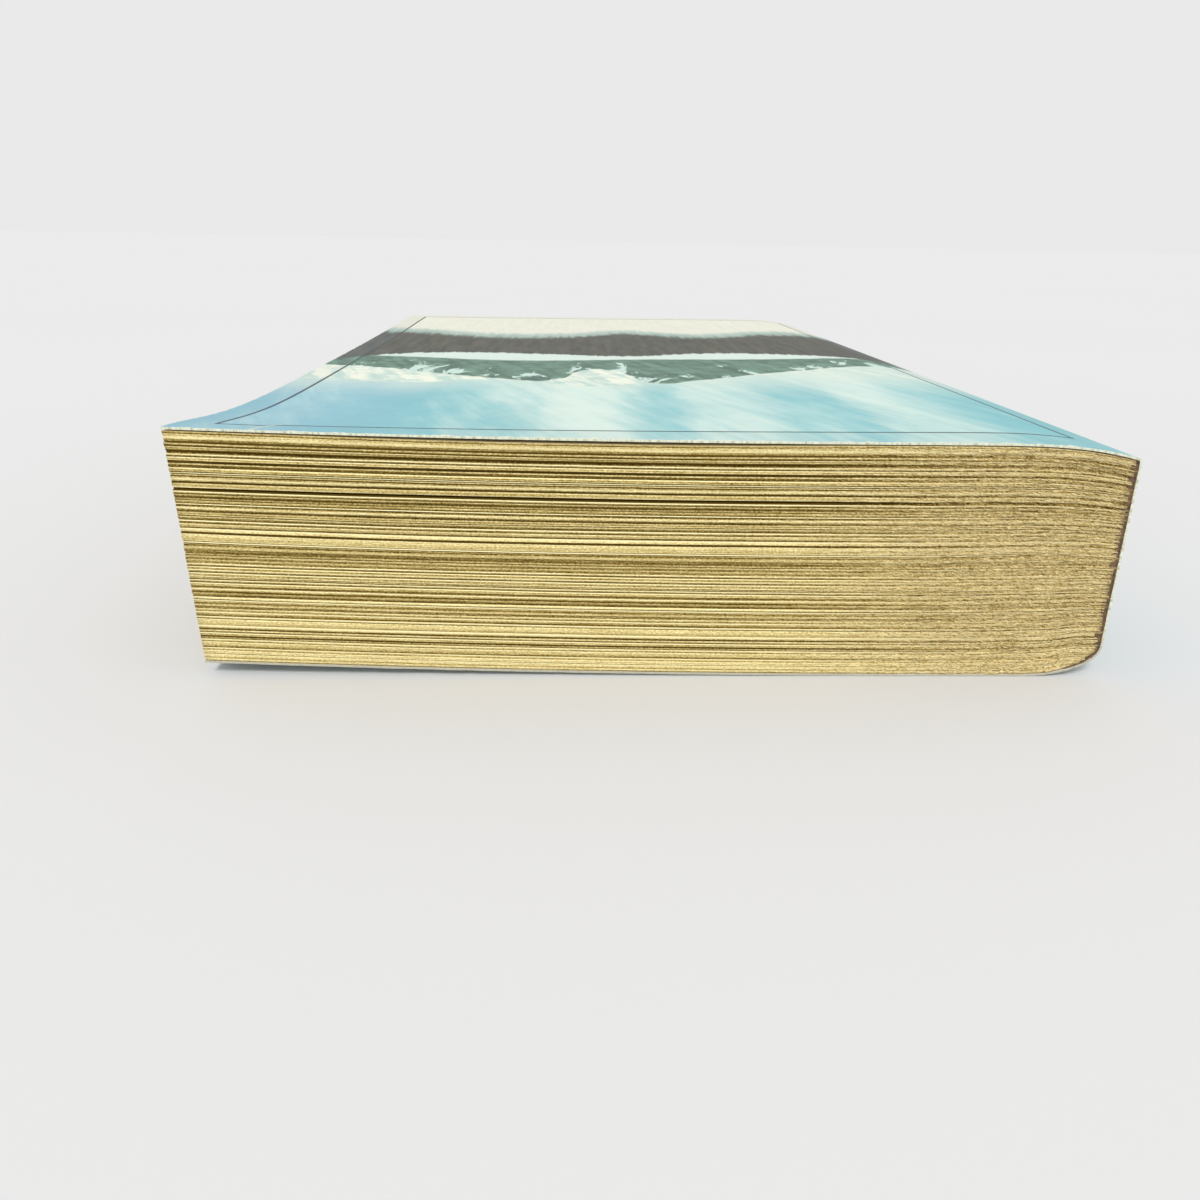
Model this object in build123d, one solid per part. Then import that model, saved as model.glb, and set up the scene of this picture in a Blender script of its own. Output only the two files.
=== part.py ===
"""Thick glued paperback book, lying on its back cover.

Frame: origin under the middle of the book on the surface that it lies on, +Z up, +X towards the
spine and +Y from the head to the tail of the pages. Lengths are in millimetres.

The leaves, the glue that binds them and the printed card round them all follow one pair of
profiles, front_height and back_height, so a change of size moves every piece with its neighbours.
"""

import math
import os

from build123d import *

# Overall sizes
page_height = 209.5  # head to tail
page_width = 132.4  # fore-edge to the glued edge of the leaves
crest_height = 35.6  # table to the top of the front cover where the book is thickest
fore_drop = 1.8  # how much lower the front cover lies along the fore-edge
spine_drop = 2.0  # how much lower it is pulled at the spine

# Card, glue and the play between the pieces
card_thickness = 0.3
glue_thickness = 0.9  # on the spine side of the leaves
cover_gap = 0.2  # between each cover and the leaf under it, which the side glue fills
crease_gap = 0.1  # between each cover and its hinge strip
hinge_clearance = 0.03  # hinge line to the outer face of the hinge strip under it

# Spine and hinges, as distances from the spine unless they say otherwise
crest_inset = 22.0  # the thickest place
hinge_inset = 6.5  # the crease that each cover opens at
side_glue_inset = 5.0  # how far the side glue reaches over the first and last leaf
spine_lean = 1.0  # how far the front has slipped towards the fore-edge
lower_round_width = 11.7  # where the back turns up to the spine
lower_round_height = 5.0
upper_round = 0.8  # radius of the fold between the front and the spine

# Wear: the corner at the head and the fore-edge is bent up, and the tail has fanned
corner_rise = 2.75  # of the front cover
corner_lift = 2.15  # of the back cover, off the table
corner_reach = 20.0  # how far along the fore-edge the bend runs
tail_rise = 1.35
tail_reach = 60.0
bend_fade = 2.1  # how quickly the bends die out towards the spine
table_trim = 0.03  # how much the table presses off the back cover, to leave it truly flat

# Sections of the lofted pieces: distances from the head, then this many more up to the tail
head_places = (0.0, 8.0, 17.0, 27.0, 38.0, 55.0)
later_sections = 6

spine_x = (page_width + glue_thickness + card_thickness) / 2
fore_x = -spine_x
crest_x = spine_x - crest_inset
round_x = spine_x - lower_round_width
hinge_x = spine_x - hinge_inset
head_y = -page_height / 2
tail_y = page_height / 2

leaf_inset = card_thickness + cover_gap  # outer face of a cover to the leaf under it
glued_inset = card_thickness + glue_thickness  # outer face of the spine to the glued edge
level = Vector(1, 0, 0)


def fade(x):
    """1 at the fore-edge, 0 from the crest to the spine."""
    return max(0.0, (crest_x - x) / (crest_x - fore_x))


def near_head(y):
    return math.exp(-(((y - head_y) / corner_reach) ** 1.5))


def near_tail(y):
    return math.exp(-(((tail_y - y) / tail_reach) ** 1.5))


def front_height(x, y):
    """Height of the outer face of the front cover."""
    crown = crest_height - fore_drop * fade(x) ** 1.5
    bend = corner_rise * near_head(y) + tail_rise * near_tail(y)
    dip = max(0.0, (x - crest_x) / crest_inset) ** 3
    return crown + bend * fade(x) ** bend_fade - spine_drop * dip


def back_height(x, y):
    """Height of the outer face of the back cover."""
    lift = corner_lift * near_head(y) * fade(x) ** bend_fade
    turn = max(0.0, (x - round_x) / lower_round_width)
    return lift + lower_round_height * (1 - math.sqrt(1 - turn**2))


def leaned(x, y, z):
    """The same point once the whole book leans."""
    return Vector(x + spine_lean * (0.5 - z / crest_height), y, z)


def spread(start, end, count):
    return [start + (end - start) * i / (count - 1) for i in range(count)]


def section_stations():
    """Where along Y the lofted pieces have their sections."""
    near = [head_y + place for place in head_places]
    return near[:-1] + spread(near[-1], tail_y, later_sections + 1)


def profile(height, inset, y, start, end, count):
    """Points along a profile, the given height above it."""
    return [leaned(x, y, height(x, y) + inset) for x in spread(start, end, count)]


def smooth(points, level_start=False, level_end=False):
    """Spline through the points, level at the ends that ask for it."""
    first = level if level_start else points[1] - points[0]
    last = level if level_end else points[-1] - points[-2]
    return Edge.make_spline(points, tangents=(first, last))


def front_run(y, inset, end_x):
    """Edges along the front, from the fore-edge over the crest to end_x."""
    fore_part = profile(front_height, -inset, y, fore_x, crest_x, 10)
    dip_part = profile(front_height, -inset, y, crest_x, end_x, 6)
    return [smooth(fore_part, level_end=True), smooth(dip_part, level_start=True)]


def back_run(y, inset):
    """Edges along the back, from the fore-edge to the start of the lower round."""
    fore_part = profile(back_height, inset, y, fore_x, crest_x, 10)
    flat_part = Edge.make_line(fore_part[-1], leaned(round_x, y, back_height(round_x, y) + inset))
    return [smooth(fore_part, level_end=True), flat_part]


def lower_round(y, side_inset, face_inset):
    """Quarter ellipse from the back up to the side of the spine."""
    across = lower_round_width - side_inset
    up = lower_round_height - face_inset
    points = []
    for angle in spread(0.0, math.pi / 2, 8):
        x = round_x + across * math.sin(angle)
        points.append(leaned(x, y, lower_round_height - up * math.cos(angle)))
    return smooth(points, level_start=True)


def upper_fold(start, side_x):
    """Arc from the front down to the side of the spine."""
    radius = side_x - start.X
    middle_x = start.X + radius * math.sin(math.pi / 4)
    middle_z = start.Z - radius * (1 - math.cos(math.pi / 4))
    middle = Vector(middle_x, start.Y, middle_z)
    return Edge.make_three_point_arc(start, middle, Vector(side_x, start.Y, start.Z - radius))


def book_section(y, side_inset, face_inset):
    """Section of the whole book at y, drawn in from its outer faces."""
    radius = max(0.2, upper_round - face_inset)
    side_x = spine_x - side_inset
    front = front_run(y, face_inset, side_x - radius)
    back = back_run(y, face_inset)
    turn = lower_round(y, side_inset, face_inset)
    fold_start = front[-1] @ 1
    fold = upper_fold(fold_start, fold_start.X + radius)
    side = Edge.make_line(turn @ 1, fold @ 1)
    fore_edge = Edge.make_line(front[0] @ 0, back[0] @ 0)
    return Face(Wire(front + back + [turn, fold, side, fore_edge]))


def cover_section(outer, inner):
    """Section of one loose cover, between two runs of edges."""
    fore_end = Edge.make_line(outer[0] @ 0, inner[0] @ 0)
    crease_end = Edge.make_line(outer[-1] @ 1, inner[-1] @ 1)
    return Face(Wire(outer + inner + [fore_end, crease_end]))


def front_cover_section(y):
    end_x = hinge_x - crease_gap
    return cover_section(front_run(y, 0.0, end_x), front_run(y, card_thickness, end_x))


def back_cover_section(y):
    end_x = hinge_x - crease_gap
    runs = []
    for inset in (-table_trim, card_thickness):
        turn = profile(back_height, inset, y, round_x, end_x, 4)
        runs.append(back_run(y, inset) + [smooth(turn, level_start=True)])
    return cover_section(*runs)


def beyond(from_x):
    """Everything on the spine side of from_x, leaning with the book."""
    low, high = -crest_height, 2 * crest_height
    near = [leaned(from_x, head_y, low), leaned(from_x, head_y, high)]
    far = [leaned(from_x + page_width, head_y, high), leaned(from_x + page_width, head_y, low)]
    return extrude(Face(Wire.make_polygon(near + far)), page_height, dir=(0, 1, 0))


def spine_shell(outer_insets, inner_insets, from_x):
    """What lies between two sections of the book, from from_x to the spine."""
    outer = extrude(book_section(head_y, *outer_insets), page_height, dir=(0, 1, 0))
    inner = extrude(book_section(head_y, *inner_insets), page_height, dir=(0, 1, 0))
    return (outer - inner) & beyond(from_x)


def make_text_block():
    return loft([book_section(y, glued_inset, leaf_inset) for y in section_stations()])


def make_front_cover():
    return loft([front_cover_section(y) for y in section_stations()])


def make_back_cover():
    cover = loft([back_cover_section(y) for y in section_stations()])
    underside = (Align.CENTER, Align.CENTER, Align.MAX)
    table = Box(2 * page_width, 2 * page_height, crest_height, align=underside)
    return cover - table


def make_cover_spine():
    return spine_shell((0.0, 0.0), (card_thickness, card_thickness), hinge_x)


def make_binding_glue():
    inner = (glued_inset, leaf_inset)
    return spine_shell((card_thickness, card_thickness), inner, spine_x - side_glue_inset)


pieces = {
    "text_block": make_text_block(),
    "binding_glue": make_binding_glue(),
    "cover_spine": make_cover_spine(),
    "front_cover": make_front_cover(),
    "back_cover": make_back_cover(),
}

os.makedirs("parts", exist_ok=True)
for name, piece in pieces.items():
    export_step(piece, f"parts/{name}.step")

# Each cover turns about a line along Y over its crease, just outside the face of the hinge strip
for side, height, outwards in (("front", front_height, 1), ("back", back_height, -1)):
    crease = leaned(hinge_x, 0, height(hinge_x, 0) + outwards * hinge_clearance)
    print(f"{side} cover turns about x {crease.X:.4f} z {crease.Z:.4f}")
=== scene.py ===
"""Looks of the thick glued paperback: its leaves, its printed card cover and the glue between them.

Sizes are in millimetres until a mesh is made. The profiles below are the CAD model's own, so every
piece here lies where its CAD node does. The covers are one printed sheet, drawn by one material
from what is kept on the meshes: the distance across the sheet, the distance from the head and wear.
"""

import math
from types import SimpleNamespace

import bpy
import numpy as np
from mathutils import Matrix, Vector


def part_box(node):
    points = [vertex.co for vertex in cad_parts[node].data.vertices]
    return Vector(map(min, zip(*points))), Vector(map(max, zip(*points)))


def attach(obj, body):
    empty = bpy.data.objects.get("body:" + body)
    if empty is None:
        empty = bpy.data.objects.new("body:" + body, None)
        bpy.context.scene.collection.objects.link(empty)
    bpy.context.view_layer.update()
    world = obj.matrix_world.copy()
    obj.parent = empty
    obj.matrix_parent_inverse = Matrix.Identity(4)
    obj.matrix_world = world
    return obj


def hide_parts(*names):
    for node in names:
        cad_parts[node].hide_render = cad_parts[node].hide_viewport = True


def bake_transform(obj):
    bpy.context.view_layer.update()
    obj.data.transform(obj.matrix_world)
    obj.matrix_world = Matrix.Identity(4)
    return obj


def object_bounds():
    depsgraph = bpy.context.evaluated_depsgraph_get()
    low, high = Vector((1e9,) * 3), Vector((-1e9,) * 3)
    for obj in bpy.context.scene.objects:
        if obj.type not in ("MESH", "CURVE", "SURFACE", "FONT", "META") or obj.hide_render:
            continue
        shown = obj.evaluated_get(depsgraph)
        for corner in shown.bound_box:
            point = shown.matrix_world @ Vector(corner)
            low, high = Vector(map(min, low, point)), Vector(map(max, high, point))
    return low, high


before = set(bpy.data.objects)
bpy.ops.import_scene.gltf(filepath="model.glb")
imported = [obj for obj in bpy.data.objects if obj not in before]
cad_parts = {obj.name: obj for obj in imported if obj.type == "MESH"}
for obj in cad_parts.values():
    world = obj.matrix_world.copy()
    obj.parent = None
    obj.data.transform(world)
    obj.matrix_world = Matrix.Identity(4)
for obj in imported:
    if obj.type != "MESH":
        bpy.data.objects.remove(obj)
cad_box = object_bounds()

MM = 0.001


def corners(node):
    low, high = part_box(node)
    return np.array(low) / MM, np.array(high) / MM


# ---------------- the book's profiles, as in the CAD

fore_drop = 1.8
spine_drop = 2.0
card_thickness = 0.3
cover_gap = 0.2
glue_thickness = 0.9
crest_inset = 22.0
hinge_inset = 6.5
spine_lean = 1.0
lower_round_width = 11.7
lower_round_height = 5.0
upper_round = 0.8
corner_rise = 2.75
corner_lift = 2.15
corner_reach = 20.0
tail_rise = 1.35
tail_reach = 60.0
bend_fade = 2.1

head_y, tail_y = [corner[1] for corner in corners("text_block")]
page_height = tail_y - head_y
crest_height = corners("front_cover")[1][2] + fore_drop - corner_rise
spine_x = corners("cover_spine")[1][0] - spine_lean * (0.5 - lower_round_height / crest_height)
fore_x = -spine_x
crest_x = spine_x - crest_inset
round_x = spine_x - lower_round_width
hinge_x = spine_x - hinge_inset
fold_x = spine_x - upper_round
leaf_inset = card_thickness + cover_gap
glued_inset = card_thickness + glue_thickness


def fade(x):
    return np.maximum(0.0, (crest_x - x) / (crest_x - fore_x))


def bend(y, at_head, at_tail):
    head = np.exp(-(((y - head_y).clip(0) / corner_reach) ** 1.5))
    tail = np.exp(-(((tail_y - y).clip(0) / tail_reach) ** 1.5))
    return at_head * head + at_tail * tail


def crown_height(x, y):
    """Height of the front's outer face before it is pulled down towards the spine."""
    crown = crest_height - fore_drop * fade(x) ** 1.5
    return crown + bend(y, corner_rise, tail_rise) * fade(x) ** bend_fade


def spine_dip(x):
    return spine_drop * np.maximum(0.0, (x - crest_x) / crest_inset) ** 3


def front_height(x, y):
    return crown_height(x, y) - spine_dip(x)


def lift_height(x, y):
    return bend(y, corner_lift, 0.0) * fade(x) ** bend_fade


def round_rise(x, side_inset=0.0, face_inset=0.0):
    """How far the lower round has risen at x, for its outer face or one drawn in from it."""
    turn = ((x - round_x) / (lower_round_width - side_inset)).clip(0, 1)
    return (lower_round_height - face_inset) * (1 - np.sqrt(1 - turn**2))


def back_height(x, y, side_inset=0.0, face_inset=0.0):
    """Height of the back's outer face, or of a face drawn in from it."""
    return lift_height(x, y) + face_inset + round_rise(x, side_inset, face_inset)


def leaned(x, z):
    return x + spine_lean * (0.5 - z / crest_height)


# ---------------- mesh helpers


def smoothstep(low, high, value):
    t = ((value - low) / (high - low)).clip(0, 1)
    return t * t * (3 - 2 * t)


def drift(rng, rows, run, row_step, run_step):
    """Smooth random field, about -1 to 1, over leaves (rows) and the distance along them (run)."""
    r, c = rows / row_step, run / run_step
    grid = rng.uniform(-1, 1, (int(r.max()) + 2, int(c.max()) + 2))
    i, j = r.astype(int), c.astype(int)
    fr, fc = smoothstep(0, 1, r - i), smoothstep(0, 1, c - j)
    low = grid[i, j] * (1 - fc) + grid[i, j + 1] * fc
    high = grid[i + 1, j] * (1 - fc) + grid[i + 1, j + 1] * fc
    return low * (1 - fr) + high * fr


def run_along(x, z):
    """Distance from the start of a line to each of its points."""
    return np.concatenate([[0.0], np.cumsum(np.hypot(np.diff(x), np.diff(z)))])


def placed(x, y, z):
    """List of points of the leaning book."""
    return np.stack([leaned(x, z), y, z], -1).reshape(-1, 3)


def new_object(name, data):
    made = bpy.data.objects.new(name, data)
    bpy.context.scene.collection.objects.link(made)
    return made


def new_mesh(name, points, faces, materials, indices=None):
    """Mesh object from points in millimetres and quads."""
    mesh = bpy.data.meshes.new(name)
    mesh.from_pydata((points * MM).tolist(), [], faces.tolist())
    mesh.polygons.foreach_set("use_smooth", np.ones(len(faces), bool))
    for material in materials:
        mesh.materials.append(material)
    if indices is not None:
        mesh.polygons.foreach_set("material_index", indices.astype(np.int32))
    return new_object(name, mesh)


def keep(piece, name, values):
    """Stores one vector or number for each vertex."""
    kind = "FLOAT_VECTOR" if values.ndim == 2 else "FLOAT"
    layer = piece.data.attributes.new(name, kind, "POINT")
    slot = "vector" if values.ndim == 2 else "value"
    layer.data.foreach_set(slot, values.astype(np.float32).ravel())


def keep_print(piece, along, from_head, wear):
    """Stores where a shell's vertices lie on the flat sheet, the same outside and inside."""
    along, from_head = np.meshgrid(along, from_head)
    place = np.stack([along, from_head, np.broadcast_to(wear, along.shape)], -1).reshape(-1, 3)
    keep(piece, "print", np.concatenate([place, place]))


def lay_out(piece, spots):
    """Gives the mesh its texture map, one spot for each corner of each face."""
    layer = piece.data.uv_layers.new(name="OFBake")
    layer.uv.foreach_set("vector", spots.astype(np.float32).ravel())


def crease_between(piece, sharp):
    """Marks the edges whose two vertices are both in one of the sharp lines."""
    edges = np.zeros(len(piece.data.edges) * 2, np.int32)
    piece.data.edges.foreach_get("vertices", edges)
    pairs = edges.reshape(-1, 2)
    marked = (sharp[pairs[:, 0]] == sharp[pairs[:, 1]]) & (sharp[pairs[:, 0]] >= 0)
    layer = piece.data.attributes.new("sharp_edge", "BOOLEAN", "EDGE")
    layer.data.foreach_set("value", marked)


def quads(grid):
    """Faces between neighbouring rows and columns of a grid of vertex numbers."""
    a, b, c, d = grid[:-1, :-1], grid[:-1, 1:], grid[1:, 1:], grid[1:, :-1]
    return np.stack([a, b, c, d], -1).reshape(-1, 4)


def shell_faces(rows, columns):
    """Faces of a bent sheet, outside, inside and rim, and the ring of vertices round its outside."""
    outside = np.arange(rows * columns).reshape(rows, columns)
    ring = np.concatenate([outside[0, :-1], outside[:-1, -1], outside[-1, :0:-1], outside[:0:-1, 0]])
    ring_next = np.roll(ring, -1)
    inside = outside.size
    rim = np.stack([ring, ring + inside, ring_next + inside, ring_next], -1)
    return np.concatenate([quads(outside), quads(outside + inside)[:, ::-1], rim]), ring


# ---------------- shader helpers


def rgb(red, green, blue):
    """Linear colour from 0-255 screen values."""
    channels = [v / 255 for v in (red, green, blue)]
    linear = [v / 12.92 if v <= 0.04045 else ((v + 0.055) / 1.055) ** 2.4 for v in channels]
    return (*linear, 1.0)


class Shader:
    """Builds one material's nodes. Every method returns an output socket."""

    def __init__(self, name):
        self.material = bpy.data.materials.new(name)
        self.material.use_nodes = True
        self.tree = self.material.node_tree
        self.surface = self.tree.nodes["Principled BSDF"]

    def feed(self, socket, value):
        if isinstance(value, bpy.types.NodeSocket):
            self.tree.links.new(value, socket)
        elif value is not None:
            socket.default_value = value

    def node(self, kind, **settings):
        made = self.tree.nodes.new(kind)
        for key, value in settings.items():
            setattr(made, key, value)
        return made

    def kept(self, name, output="Vector"):
        return self.node("ShaderNodeAttribute", attribute_name=name).outputs[output]

    def parts(self, vector):
        split = self.node("ShaderNodeSeparateXYZ")
        self.feed(split.inputs[0], vector)
        return split.outputs

    def vector(self, x, y):
        joined = self.node("ShaderNodeCombineXYZ")
        self.feed(joined.inputs[0], x)
        self.feed(joined.inputs[1], y)
        return joined.outputs[0]

    def math(self, operation, *values, clamp=False):
        made = self.node("ShaderNodeMath", operation=operation, use_clamp=clamp)
        for socket, value in zip(made.inputs, values):
            self.feed(socket, value)
        return made.outputs[0]

    def add(self, a, b):
        return self.math("ADD", a, b)

    def less(self, a, b):
        return self.math("SUBTRACT", a, b)

    def times(self, a, b):
        return self.math("MULTIPLY", a, b)

    def noise(self, vector, scale, offset=(0, 0), detail=2.0, roughness=0.5, distortion=0.0):
        """Flat noise from 0 to 1 whose lumps are about one unit of the scaled vector across."""
        place = self.node("ShaderNodeMapping")
        self.feed(place.inputs["Vector"], vector)
        place.inputs["Scale"].default_value = (*scale, 0)
        place.inputs["Location"].default_value = (*offset, 0)
        made = self.node("ShaderNodeTexNoise")
        self.feed(made.inputs["Vector"], place.outputs[0])
        settings = {"Scale": 1.0, "Detail": detail, "Roughness": roughness, "Distortion": distortion}
        for name, value in settings.items():
            made.inputs[name].default_value = value
        return made.outputs["Fac"]

    def above(self, value, edge, soft):
        """0 below the edge and 1 above it, with a soft step. The edge may be a socket."""
        made = self.node("ShaderNodeMapRange", interpolation_type="SMOOTHSTEP")
        self.feed(made.inputs["Value"], self.less(value, edge))
        made.inputs["From Min"].default_value = -soft
        made.inputs["From Max"].default_value = soft
        return made.outputs[0]

    def between(self, value, low, high, soft):
        below_high = self.less(1.0, self.above(value, high, soft))
        return self.times(self.above(value, low, soft), below_high)

    def mix(self, factor, a, b, blend="MIX"):
        made = self.node("ShaderNodeMix", data_type="RGBA", blend_type=blend)
        self.feed(made.inputs[0], factor)
        self.feed(made.inputs[6], a)
        self.feed(made.inputs[7], b)
        return made.outputs[2]

    def ramp(self, value, *stops):
        made = self.node("ShaderNodeValToRGB")
        ramp = made.color_ramp
        while len(ramp.elements) < len(stops):
            ramp.elements.new(1.0)
        for element, (position, colour) in zip(ramp.elements, stops):
            element.position, element.color = position, colour
        self.feed(made.inputs[0], value)
        return made.outputs[0]

    def curve(self, value, length, height, points):
        """Smooth curve through (distance, height) points, over 0 to length."""
        made = self.node("ShaderNodeFloatCurve")
        line = made.mapping.curves[0]
        while len(line.points) < len(points):
            line.points.new(0.5, 0.5)
        for point, (along, up) in zip(line.points, points):
            point.location = (along / length, up / height)
        made.mapping.update()
        self.feed(made.inputs["Value"], self.math("DIVIDE", value, length))
        return self.times(made.outputs[0], height)

    def bump(self, height, strength, distance, normal=None):
        made = self.node("ShaderNodeBump")
        made.inputs["Strength"].default_value = strength
        made.inputs["Distance"].default_value = distance * MM
        self.feed(made.inputs["Height"], height)
        self.feed(made.inputs["Normal"], normal)
        return made.outputs[0]

    def finish(self, colour, roughness, normal=None, **constants):
        self.feed(self.surface.inputs["Base Color"], colour)
        self.feed(self.surface.inputs["Roughness"], roughness)
        self.feed(self.surface.inputs["Normal"], normal)
        for name, value in constants.items():
            self.surface.inputs[name.replace("_", " ")].default_value = value
        return self.material


# ---------------- materials of the leaves and the glue

dash_slant = 0.4  # how steeply the fibres' dashes lean


def page_edge_material():
    """Trimmed edges of old pulpy leaves: tan, streaked along each leaf, with painted shade where a leaf
    is sunk and painted highlight where it stands proud or leads its gathering.
    """
    s = Shader("page_edges")
    place = s.kept("paper")
    run, up, tone = s.parts(place)
    fibrous = s.kept("fibrous", "Fac")
    slanted = s.vector(run, s.add(up, s.times(run, -dash_slant)))
    streaks = s.noise(place, (0.10, 4.2), roughness=0.6)
    dashes = s.noise(slanted, (1.2, 3.0), detail=3, roughness=0.75, distortion=0.3)
    patches = s.noise(place, (0.5, 3.0), (3.0, 8.0), roughness=0.6)
    specks = s.noise(place, (2.7, 2.7), roughness=0.75)
    lint = s.noise(slanted, (2.0, 4.0), (9.0, 4.0), roughness=0.7)
    hairs = s.above(lint, 0.66, 0.04)

    dash_share = s.add(0.15, s.times(fibrous, 2.0))
    patch_share = s.add(0.45, s.times(fibrous, 0.5))
    speck_share = s.add(1.3, s.times(fibrous, 0.2))
    # The tone holds painted shade on sunk leaves and painted highlight on proud and leading ones.
    shade = tone
    patterns = (streaks, 0.75), (dashes, dash_share), (patches, patch_share), (specks, speck_share)
    for pattern, share in patterns:
        shade = s.add(shade, s.times(s.add(pattern, -0.5), share))
    shade = s.add(shade, s.times(hairs, 0.22))
    colour = s.ramp(
        shade,
        (0.0, rgb(92, 72, 22)),
        (0.26, rgb(148, 126, 64)),
        (0.5, rgb(190, 170, 110)),
        (0.75, rgb(222, 204, 144)),
        (1.0, rgb(250, 238, 184)),
    )
    colour = s.mix(s.times(fibrous, 0.45), colour, rgb(255, 238, 222), "MULTIPLY")
    relief = s.add(s.times(dashes, dash_share), s.times(specks, 0.35))
    return s.finish(colour, 0.92, s.bump(relief, 1.0, 0.3), Specular_IOR_Level=0.05)


def page_face_material():
    """The first and last page: blank, yellowed towards the trimmed edges."""
    s = Shader("page_faces")
    place = s.kept("paper")
    tone = s.parts(place)[2]
    cloudy = s.noise(place, (0.03, 0.03), detail=4)
    fibres = s.noise(place, (1.3, 1.3), detail=5, roughness=0.7)
    yellowed = s.add(tone, s.times(s.add(cloudy, -0.5), 0.5))
    colour = s.mix(yellowed, rgb(236, 226, 194), rgb(205, 184, 132))
    colour = s.mix(s.times(fibres, 0.12), colour, rgb(150, 132, 92))
    return s.finish(colour, 0.9, s.bump(fibres, 0.25, 0.05), Specular_IOR_Level=0.25)


def glue_material():
    """Dark brown hot-melt glue with dust and paper fibres in it."""
    s = Shader("hot_melt_glue")
    place = s.kept("print")
    lumps = s.noise(place, (0.9, 0.9), detail=4, roughness=0.6)
    fine = s.noise(place, (3.0, 3.0), detail=3)
    colour = s.ramp(lumps, (0.25, rgb(78, 56, 44)), (0.5, rgb(104, 80, 56)), (0.75, rgb(136, 108, 70)))
    colour = s.mix(s.times(s.above(fine, 0.62, 0.05), 0.5), colour, rgb(186, 164, 112))
    return s.finish(colour, s.add(0.4, s.times(lumps, 0.3)), s.bump(lumps, 0.5, 0.2))


# ---------------- the cover's print

# Curves of the picture: distance in from the sheet's fore-edge, then from the head
snow_line = [
    (0, 66), (14, 60), (28, 58), (38, 61), (50, 55), (64, 51), (82, 60), (108, 70), (124, 66),
    (150, 74),
]
ridge_line = [
    (0, 86), (14, 80), (34, 66), (52, 60), (57, 74), (64, 72), (70, 55), (80, 59), (100, 72),
    (122, 84), (150, 92),
]
shore_line = [(0, 104), (20, 98), (40, 91), (74, 92), (100, 93), (118, 97), (150, 106)]
tree_line = [(0, 96), (20, 107), (48, 103), (68, 98), (88, 104), (110, 102), (150, 88)]
frost_line = [(0, 158), (16, 152), (34, 142), (54, 143), (70, 152), (90, 142), (112, 152), (150, 154)]
frost_depth = 10.0  # of the frosty ground before the pale foreground
# How light the clouds are at each distance in from the fore-edge
cloud_light = [
    (0, 0.05), (12, 0.2), (20, 0.08), (32, 0.2), (46, 0.5), (58, 0.8), (68, 0.35), (80, 0.6),
    (92, 0.3), (106, 0.6), (120, 0.25), (150, 0.1),
]

# The frame line, from the sheet's own edges
line_fore, line_spine = 5.8, 127.3
line_head, line_tail = 5.1, 6.0
line_skew = 0.024  # how much further in the head's line lies per millimetre
line_buckle = 0.11  # how much further out, from the corner to the crease
line_width = 0.6
line_blur = 0.12

# The short crease at the front's corner, and the empty panel on the back
crease_start, crease_reach = 11.5, 8.0
panel_fore, panel_spine = 22.0, 112.0  # from the back's fore-edge
panel_head, panel_tail = 24.0, 132.0  # from the head


def print_places(s):
    """Places on the sheet, and the noises that the parts of the print share."""
    place = s.kept("print")
    across, from_head, wear = s.parts(place)
    # The front's picture runs on round the spine and is mirrored on the back.
    mirrored = s.math("ABSOLUTE", s.add(across, -sheet_middle))
    slanted = s.vector(s.add(across, s.times(from_head, 0.35)), from_head)
    strokes = s.noise(slanted, (0.3, 0.045), detail=3, roughness=0.6)
    return SimpleNamespace(
        place=place,
        across=across,
        from_head=from_head,
        wear=wear,
        along=s.less(sheet_middle, mirrored),
        brushed=s.add(strokes, -0.5),
        wisps=s.noise(place, (0.07, 0.025), (0.7, 2.2), detail=3),
        ragged=s.noise(place, (0.22, 0.22), detail=5, roughness=0.6),
        grain=s.noise(place, (0.9, 0.9), detail=3),
        spikes=s.noise(place, (0.55, 0.05), detail=3, roughness=0.6),
    )


def past_line(s, p, points, soft, wander=0.0):
    """1 further from the head than a line of the picture, which may wander by a number or a socket."""
    line = s.curve(p.along, sheet_middle, page_height, points)
    return s.above(p.from_head, s.add(line, wander), soft)


def draw_sky(s, p):
    """Blue sky with drifting cloud, pale towards the snow."""
    uneven = s.add(p.wisps, -0.5)
    drifted = s.math("PINGPONG", s.add(p.along, s.times(uneven, 14.0)), sheet_middle)
    light = s.curve(drifted, sheet_middle, 1.0, cloud_light)
    light = s.add(s.add(light, s.times(uneven, 0.6)), s.times(p.brushed, 0.7))
    lilac = s.above(s.add(s.times(p.brushed, 12.0), p.along), 24.0, 16.0)
    blue = s.mix(lilac, rgb(122, 170, 190), rgb(108, 176, 184))
    blue = s.mix(s.times(p.wisps, 0.5), blue, rgb(146, 202, 204))
    sky = s.mix(s.above(light, 0.47, 0.42), blue, rgb(204, 222, 212))
    haze = s.above(p.from_head, s.add(s.times(p.wisps, 24.0), 42.0), 16.0)
    return s.mix(s.times(haze, 0.7), sky, rgb(212, 222, 208))


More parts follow.
